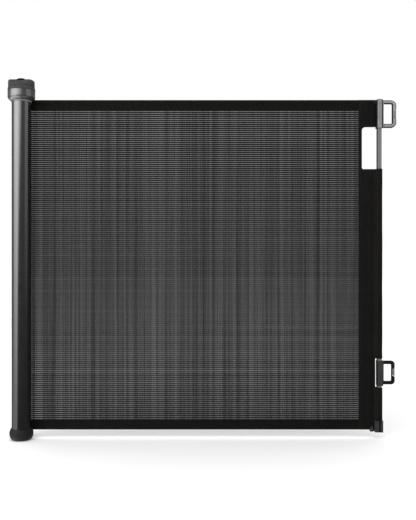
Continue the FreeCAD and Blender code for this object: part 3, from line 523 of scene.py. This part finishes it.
ownFinishes = {
    "top_collar": collarPaint(),
    "lower_loop": moulded("lowerLoopDark", 0.006, 0.2, (0.5, 0.6), level=0.1),
    "bottom_fitting": moulded("shoeDark", 0.03, 0.15, (0.5, 0.6), level=0.1, faces=[
        (0.001, (bar[0][0] + 2.6, bar[0][0] + 7.0), (shoe[0][1] - 4, shoe[0][1] + 3), 0.4)]),
}
hemCloth = wovenBand("hemCloth", (0.0028, 0.0025, 0.0020), (0.0061, 0.0055, 0.0045), 0.0008)
rollCloth = wovenBand("rolledMesh", (0.009, 0.0088, 0.0089), (0.018, 0.0176, 0.0177), 0.00148, 0.0003)
seamThread = sewingThread()

for part in frame["record"]["subparts"]:
    data = nodes[part["node"]].data
    data.materials.clear()
    data.materials.append(ownFinishes.get(part["node"], finishes[part["material_slot"]]))
print("finishes made")


screen, topEdge, bottomEdge = boxOf("mesh_screen"), boxOf("top_hem"), boxOf("bottom_hem")
cloth = {
    "left": screen[0][0], "right": screen[1][0], "middle": screen[0][1] + 0.35,
    "bottom": screen[0][2] - 8, "top": screen[1][2] + 8,    # the netting runs 8 mm into each hem
    "ripple": 0.22, "columns": 170, "rows": 150,
}


# taut cloth: waves with lengths of 173 and 61 mm up the cloth and 240 mm along it, added up
def slack(x, z):
    return (0.5 * np.sin(2 * np.pi * z / 173 + x / 260) + 0.3 * np.sin(2 * np.pi * z / 61 + 1.3)
            + 0.2 * np.sin(2 * np.pi * x / 240 + z / 90))


# one layer of netting: a flat grid that the slack moves in and out
def makeNetting():
    c = cloth
    x, z = np.meshgrid(np.linspace(c["left"], c["right"], c["columns"]),
                       np.linspace(c["bottom"], c["top"], c["rows"]))
    y = c["middle"] + c["ripple"] * slack(x, z)
    return makePiece("mesh_panel", [gridSurface(np.stack([x, y, z], -1) * mm)], [finishes["mesh_fabric"]])


hem = {
    "thick": 1.0, "stations": 230, "acrossPoints": 60, "edgeRound": 0.6, "groove": 0.16, "grooveWidth": 0.7,
    "topRows": (topEdge[0][2] + 2.6, topEdge[1][2] - 4.7, topEdge[1][2] - 2.5),
    "bottomRows": (bottomEdge[1][2] - 2.6, bottomEdge[0][2] + 2.5),
}


# folded hem: a strip whose edges are rounded as a circle's are, pinched by a bell-shaped groove at each row
def makeHem(name, low, high, rows):
    h = hem
    z = low + (high - low) * (1 - np.cos(np.linspace(0, np.pi, h["acrossPoints"]))) / 2
    edge = np.clip(np.minimum(z - low, high - z) / h["edgeRound"], 0, 1)
    thick = h["thick"] / 2 * np.sqrt(1 - (1 - edge) ** 2)
    for row in rows:
        thick = thick - np.minimum(thick, h["groove"]) * np.exp(-((z - row) / h["grooveWidth"]) ** 2)
    middle = screen[0][1] + h["thick"] / 2
    ringY = np.concatenate([middle - thick, (middle + thick)[-2:0:-1]])
    ringZ = np.concatenate([z, z[-2:0:-1]])
    x = np.linspace(cloth["left"], cloth["right"], h["stations"])
    points = np.stack(np.broadcast_arrays(x[:, None], ringY, ringZ), -1) * mm
    surfaces = [gridSurface(points, closeColumns=True, flip=True), endFace(points[0]),
                endFace(points[-1], flip=True)]
    for row in rows:
        for way in (-1, 1):
            depth = middle + way * (h["thick"] / 2 - h["groove"])
            path = np.stack(np.broadcast_arrays(x, depth, row), -1)
            surfaces.append(stitches(path, (0, way, 0)))
    return makePiece(name, surfaces, [hemCloth, seamThread])


# bakes the piece's place into its points and reads them out; nothing here moves them with the bar
def stretchesWithBar(piece):
    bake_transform(piece)
    points = np.empty(len(piece.data.vertices) * 3, np.float32)
    piece.data.vertices.foreach_get("co", points)


nettingPiece = makeNetting()
topHem = makeHem("top_hem_strip", topEdge[0][2], topEdge[1][2], hem["topRows"])
bottomHem = makeHem("bottom_hem_strip", bottomEdge[0][2], bottomEdge[1][2], hem["bottomRows"])
for piece, node, finish in ((nettingPiece, "mesh_screen", "mesh_fabric"), (topHem, "top_hem", "band_fabric"),
                            (bottomHem, "bottom_hem", "band_fabric")):
    stretchesWithBar(piece)
    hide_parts(node)
print("netting and hems made")


roll = {
    "inner": 10.9, "outer": boxOf("wound_mesh")[1][0] + 0.2, "turns": 7, "perTurn": 44, "rows": 24,
    "bottom": boxOf("wound_mesh")[0][2], "top": boxOf("wound_mesh")[1][2],
}


# wound netting: a spiral whose radius grows evenly with the turn and ends where the flat cloth starts
def makeRoll():
    r = roll
    turn = np.linspace(-2 * np.pi * r["turns"], 0, r["perTurn"] * r["turns"]) + np.pi / 2
    radius = np.linspace(r["inner"], r["outer"], len(turn))
    z = np.linspace(r["bottom"], r["top"], r["rows"])[:, None]
    points = np.stack(np.broadcast_arrays(radius * np.cos(turn), radius * np.sin(turn), z), -1)
    return makePiece("mesh_roll", [gridSurface(points * mm)], [rollCloth])


rollPiece = makeRoll()
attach(rollPiece, "roller")
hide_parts("wound_mesh")
print("roll made")


bandBox = boxOf("lead_band")
band = {
    "left": bandBox[0][0] - 1.1, "right": bar[0][0] - 2, "bottom": bandBox[0][2], "top": bandBox[1][2],
    "middle": screen[0][1] + 0.2, "thick": 2.0, "edgeRound": 0.9, "rowStep": 2.2,
    "cutLow": clip[0][2] - 4, "cutHigh": clip[1][2] + 5.2, "cutDepth": clip[0][0] - 3.4,
    "handHigh": fitting[0][2] + 2.8, "handLow": fitting[0][2] - 104.1, "handLeft": bandBox[0][0] + 7.5,
    "handLowCorner": 4.3, "handHighCorner": 8.6, "seam": 3.0, "groove": 0.14, "ripple": 0.12,
    "netSeams": (2.8, 5.4), "barSeam": 6.8, "endSeam": 2.6, "grooveWidth": 0.7, "threadSunk": 0.12,
}


# points (height, reach) on an arc, with angles in degrees from +reach towards +height
def corner(centre, radius, start, end):
    t = np.radians(np.linspace(start, end, 9))
    return np.stack([centre[0] + radius * np.sin(t), centre[1] + radius * np.cos(t)], -1)


# the two left corners of the hand hole, moved out by room
def handCorners(room):
    b = band
    low, high = b["handLowCorner"], b["handHighCorner"]
    return (corner((b["handLow"] + low, b["handLeft"] + low), low + room, 270, 180),
            corner((b["handHigh"] - high, b["handLeft"] + high), high + room, 180, 90))


# the right edge of the band from bottom to top, as (height, reach), with points no further apart than a step
def bandEdge():
    b = band
    lowCorner, highCorner = handCorners(0)
    edge = np.concatenate([
        [(b["bottom"], b["right"]), (b["cutLow"], b["right"]), (b["cutLow"] + 0.3, b["cutDepth"])],
        [(b["cutHigh"] - 0.3, b["cutDepth"]), (b["cutHigh"], b["right"]), (b["handLow"] - 1.5, b["right"])],
        [(b["handLow"], b["right"] - 1.5)], lowCorner, highCorner,
        [(b["handHigh"] + 0.1, b["right"] - 4.3), (b["handHigh"] + 0.3, b["right"]), (b["top"], b["right"])],
    ])
    runs = [edge[:1]]
    for one, two in zip(edge[:-1], edge[1:]):
        steps = max(1, int(abs(two[0] - one[0]) / b["rowStep"]))
        runs.append(one + (two - one) * (np.arange(1, steps + 1) / steps)[:, None])
    return np.concatenate(runs)


# the rows of stitches, as (reach, height): beside the netting, round the hand hole, along the bar and
# across both ends
def bandRows():
    b = band
    tall = np.linspace(b["bottom"] + 1, b["top"] - 1, 240)
    rows = [np.stack([np.full_like(tall, b["left"] + offset), tall], -1) for offset in b["netSeams"]]
    lowCorner, highCorner = handCorners(b["seam"])
    hole = np.concatenate([[(b["handLow"] - b["seam"], b["right"] - 1)], lowCorner, highCorner,
                           [(b["handHigh"] + b["seam"], b["right"] - 1)]])
    rows.append(hole[:, ::-1])
    for low, high in ((b["bottom"] + 1, b["cutLow"] - 2), (b["cutHigh"] + 2, b["handLow"] - 4)):
        rows.append(np.array([(b["right"] - b["barSeam"], low), (b["right"] - b["barSeam"], high)]))
    for height in (b["bottom"] + b["endSeam"], b["top"] - b["endSeam"], b["top"] - 2 * b["endSeam"]):
        rows.append(np.array([(b["left"] + 1, height), (b["right"] - 1, height)]))
    return rows


# flat part of the band: at each height a strip with round edges, from the netting to the band's right edge,
# with a bell-shaped groove under the seams along both sides
def makeBandWeb():
    b = band
    edge = bandEdge()
    share = (1 - np.cos(np.linspace(0, np.pi, 30))) / 2
    width = edge[:, 1:] - b["left"]
    x = b["left"] + share * width
    half = b["thick"] / 2
    near = np.clip(np.minimum(share, 1 - share) * width / b["edgeRound"], 0, 1)
    thick = half * np.sqrt(1 - (1 - near) ** 2)
    for away in (x - b["left"] - b["netSeams"][0], edge[:, 1:] - x - b["seam"]):
        thick = thick - b["groove"] * np.exp(-(away / b["grooveWidth"]) ** 2)
    thick = np.where((share == 0) | (share == 1), 0, np.maximum(thick, 0.02))
    z = np.broadcast_to(edge[:, :1], x.shape)
    middle = b["middle"] + b["ripple"] * slack(x * 2, z)
    front = np.stack([x, middle - thick, z], -1)
    back = np.stack([x, middle + thick, z], -1)[:, -2:0:-1]
    points = np.concatenate([front, back], 1) * mm
    surfaces = [gridSurface(points, closeColumns=True), endFace(points[0], flip=True), endFace(points[-1])]
    for row in bandRows():
        for way in (-1, 1):
            depth = b["middle"] + way * (half - b["threadSunk"])
            depth = depth + b["ripple"] * slack(row[:, 0] * 2, row[:, 1])
            surfaces.append(stitches(np.stack([row[:, 0], depth, row[:, 1]], -1), (0, way, 0)))
    return makePiece("band_web", surfaces, [finishes["band_fabric"], seamThread])


sleeve = {
    "x": (bar[0][0] + bar[1][0]) / 2, "y": (bar[0][1] + bar[1][1]) / 2,
    "half": ((-13.3, -0.6), (-9.1, -3.6), (-5.5, -7.8), (-2.6, -9.6), (0.9, -9.9), (4.5, -9.4), (6.7, -7.4),
             (7.1, -4.0)),    # front half of the wrap seen from above, from the band round the bar's front
    "wall": 1.5, "ripple": 0.16, "endRound": 0.7, "fade": 12.0, "rowGap": 4.0, "seam": 3.0,
}


# a closed curve that runs smoothly through its corners (Catmull-Rom)
def smoothLoop(corners, each=6):
    p = np.asarray(corners, float)[:, None]
    before, after, further = np.roll(p, 1, 0), np.roll(p, -1, 0), np.roll(p, -2, 0)
    t = (np.arange(each) / each)[None, :, None]
    curve = 0.5 * (2 * p + (after - before) * t + (2 * before - 5 * p + 4 * after - further) * t ** 2
                   + (3 * p - before - 3 * after + further) * t ** 3)
    return curve.reshape(-1, 2)


def sleeveLoop():
    front = np.array(sleeve["half"])
    back = front[::-1] * (1, -1)
    return smoothLoop(np.concatenate([front, back])) + (sleeve["x"], sleeve["y"])


# cloth round the bar: the loop carried up the bar, with waves of height and turn that fade at the ends, and
# turned in at both ends on a half circle
def makeSleeve(name, low, high):
    s = sleeve
    loop = sleeveLoop()
    ahead = np.roll(loop, -1, 0) - np.roll(loop, 1, 0)
    out = np.stack([ahead[:, 1], -ahead[:, 0]], -1) / np.linalg.norm(ahead, axis=1, keepdims=True)
    climb = np.linspace(low, high, max(8, int((high - low) / s["rowGap"])))
    bend = np.linspace(0, np.pi, 7)[1:-1]
    inside = -s["wall"] / 2
    heights = np.concatenate([climb, high + s["endRound"] * np.sin(bend), climb[::-1],
                              low - s["endRound"] * np.sin(bend)])
    offset = np.concatenate([0 * climb, inside - inside * np.cos(bend), 0 * climb - s["wall"],
                             inside + inside * np.cos(bend)])
    angle = np.arange(len(loop)) / len(loop) * 2 * np.pi
    wave = np.sin(heights[:, None] / 31 + 2 * angle) + 0.6 * np.sin(heights[:, None] / 12.3 - 3 * angle)
    fade = smoothStep(np.minimum(heights - low, high - heights) / s["fade"])[:, None]
    flat = loop + out * (offset[:, None] + (s["ripple"] * wave - 0.2) * fade)[..., None]
    points = np.concatenate([flat, np.broadcast_to(heights[:, None, None], (*flat.shape[:2], 1))], -1) * mm
    surfaces = [gridSurface(points, closeRows=True, closeColumns=True)]
    front = loop[loop[:, 1] < s["y"] - 1]
    for height in (low + s["seam"], high - s["seam"]):
        surfaces.append(stitches(np.insert(front, 2, height, axis=1), (0, -1, 0)))
    return makePiece(name, surfaces, [finishes["band_fabric"], seamThread])


bandWeb = makeBandWeb()
longSleeve = makeSleeve("band_sleeve_long", band["cutHigh"] + 0.7, band["handLow"] - 0.7)
shortSleeve = makeSleeve("band_sleeve_short", shoe[1][2] + 0.9, band["cutLow"] - 0.7)
for piece in (bandWeb, longSleeve, shortSleeve):
    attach(piece, "pull_bar")
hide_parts("lead_band")
print("band made")


studio = {
    "eye": (0.4717, -1.770, 0.453), "lens": 48.46, "floorRadius": 40.0, "floorTone": 0.95,
    "mattRoom": 1.2,                                  # the white room's strength on matt surfaces
    "mirroredLow": 0.03, "mirroredHigh": 0.43, "mirroredBack": 0.35,
    "mirroredBelow": 0.8, "mirroredBelowLeft": 2.5,
}


# a wide disc of rings at the height of the lowest part
def makeFloor():
    ring = np.array([0.0001, 0.5, 1.5, 4.0, 12.0, studio["floorRadius"]])[:, None]
    turn = np.linspace(0, 2 * np.pi, 96, endpoint=False)
    points = np.stack(np.broadcast_arrays(0.45 + ring * np.cos(turn), ring * np.sin(turn), -0.0002), -1)
    material, tree, shader, position = startMaterial("paleFloor", Specular_IOR_Level=0.1, Roughness=0.9)
    tone = studio["floorTone"]
    tree.links.new(mixColour(tree, noise(tree, position, 3.0, 3.0), 0.98 * tone, tone), shader["Base Color"])
    floor = makePiece("floor", [gridSurface(points, closeColumns=True)], [material])
    floor.visible_glossy = False


# even white room, a little stronger on matt surfaces; glossy ones mirror a front that is dark low down and
# lighter high up, a half-light back, and a pale floor that is brightest to the left
def makeRoom():
    s = studio
    world = bpy.data.worlds.new("studioWorld")
    world.use_nodes = True
    scene.world = world
    tree = world.node_tree
    tree.nodes.clear()
    path = tree.nodes.new("ShaderNodeLightPath").outputs
    direction = axes(tree, tree.nodes.new("ShaderNodeTexCoord").outputs["Generated"])
    front = remap(tree, direction[2], -0.22, 0.22, s["mirroredLow"], s["mirroredHigh"], "LINEAR")
    behind = remap(tree, direction[1], 0.1, 0.85)
    below = remap(tree, direction[2], -0.6, -0.3, 1.0, 0.0)
    left = remap(tree, direction[0], -0.15, -0.03, s["mirroredBelowLeft"], 0.0)
    mirrored = total(tree, product(tree, front, maths(tree, "SUBTRACT", 1.0, behind)),
                     product(tree, behind, s["mirroredBack"]),
                     product(tree, below, total(tree, left, s["mirroredBelow"])))
    others = maths(tree, "SUBTRACT", 1.0, total(tree, path["Is Glossy Ray"], path["Is Diffuse Ray"]))
    strength = total(tree, product(tree, path["Is Glossy Ray"], mirrored),
                     product(tree, path["Is Diffuse Ray"], s["mattRoom"]), others)
    background = tree.nodes.new("ShaderNodeBackground")
    background.inputs["Color"].default_value = (1.0, 1.0, 1.0, 1.0)
    tree.links.new(strength, background.inputs["Strength"])
    tree.links.new(background.outputs[0], tree.nodes.new("ShaderNodeOutputWorld").inputs[0])


# a tall soft panel that shows only in gloss; azimuth 0 is in front of the tube, positive towards the bar
def panel(name, azimuth, distance, low, high, width, strengthOf):
    light = bpy.data.lights.new(name, "AREA")
    light.shape = "RECTANGLE"
    light.size, light.size_y = width, high - low
    light.energy = width * (high - low) * math.pi    # makes the shader's strength the panel's brightness
    lamp = bpy.data.objects.new(name, light)
    scene.collection.objects.link(lamp)
    turn = math.radians(azimuth)
    lamp.location = (distance * math.sin(turn), -distance * math.cos(turn), (low + high) / 2)
    lamp.rotation_euler = (math.radians(90), 0, turn)
    lamp.visible_camera = False
    lamp.visible_diffuse = False
    light.use_nodes = True
    tree = light.node_tree
    emission = next(node for node in tree.nodes if node.type == "EMISSION")
    across = axes(tree, tree.nodes.new("ShaderNodeNewGeometry").outputs["Parametric"])
    tree.links.new(strengthOf(tree, across[0], across[1]), emission.inputs["Strength"])


leftSpan, sideSpan, rightSpan = (-0.95, 1.45), (-0.45, 1.45), (0.1, 1.45)    # lowest and highest, metres
leftShape = {
    "floorGlow": 1.3, "topGlow": 7.6, "underGlow": 5.0, "outerGlow": 0.35,
    "edgeLow": 0.455, "edgeHigh": 0.522, "edgeSoft": 0.05, "edgeWiden": 0.44,    # shares of its width
}


# brighter upwards from the floor's level and again below it, dimmer towards its outer end, and
# with an inner edge that is sharp low down and widens with the cube of the height
def leftGlow(tree, u, v):
    g = leftShape
    z = remap(tree, v, 0.0, 1.0, *leftSpan, "LINEAR")
    upwards = maths(tree, "MAXIMUM", remap(tree, z, -0.3, 1.36, g["floorGlow"], g["topGlow"], "LINEAR"),
                    remap(tree, z, -0.7, -0.5, g["underGlow"], g["floorGlow"]))
    outer = remap(tree, u, 0.0, 0.39, g["outerGlow"], 1.0, "LINEAR")
    high = remap(tree, z, -0.4, 1.36, 0.0, 1.0, "LINEAR")
    reach = total(tree, product(tree, maths(tree, "POWER", high, 3.0), g["edgeWiden"]), g["edgeSoft"])
    start = remap(tree, high, 0.0, 0.85, g["edgeLow"], g["edgeHigh"], "LINEAR")
    inner = maths(tree, "SUBTRACT", 1.0, maths(tree, "DIVIDE", maths(tree, "SUBTRACT", u, start), reach))
    return product(tree, upwards, outer, maths(tree, "MINIMUM", maths(tree, "MAXIMUM", inner, 0.0), 1.0))


# both fade in a straight line: the side one upwards, the right one downwards
def sideGlow(tree, u, v):
    return remap(tree, v, 0.03, 0.77, 1.1, 0.0, "LINEAR")


def rightGlow(tree, u, v):
    return remap(tree, v, 0.1, 0.9, 0.0, 1.25, "LINEAR")


def softLamp(name, place, aim, size, power):
    light = bpy.data.lights.new(name, "AREA")
    light.shape, light.size, light.energy = "DISK", size, power
    lamp = bpy.data.objects.new(name, light)
    scene.collection.objects.link(lamp)
    lamp.location = place
    lamp.rotation_euler = (Vector(place) - Vector(aim)).to_track_quat("Z", "Y").to_euler()
    lamp.visible_camera = False
    lamp.visible_glossy = False


makeFloor()
makeRoom()
panel("leftPanel", -34, 1.5, *leftSpan, 4.13, leftGlow)
panel("sidePanel", -93, 1.5, *sideSpan, 0.58, sideGlow)
panel("rightPanel", 75, 1.5, *rightSpan, 1.1, rightGlow)
softLamp("topLamp", (-0.6, -1.2, 2.2), (0.4, 0, 0.4), 1.6, 18)

cameraData = bpy.data.cameras.new("camera")
cameraData.sensor_width = 36
cameraData.lens = studio["lens"]
camera = bpy.data.objects.new("camera", cameraData)
camera.location = studio["eye"]
camera.rotation_euler = (math.radians(90), 0, 0)
scene.collection.objects.link(camera)
scene.camera = camera
print("studio made")
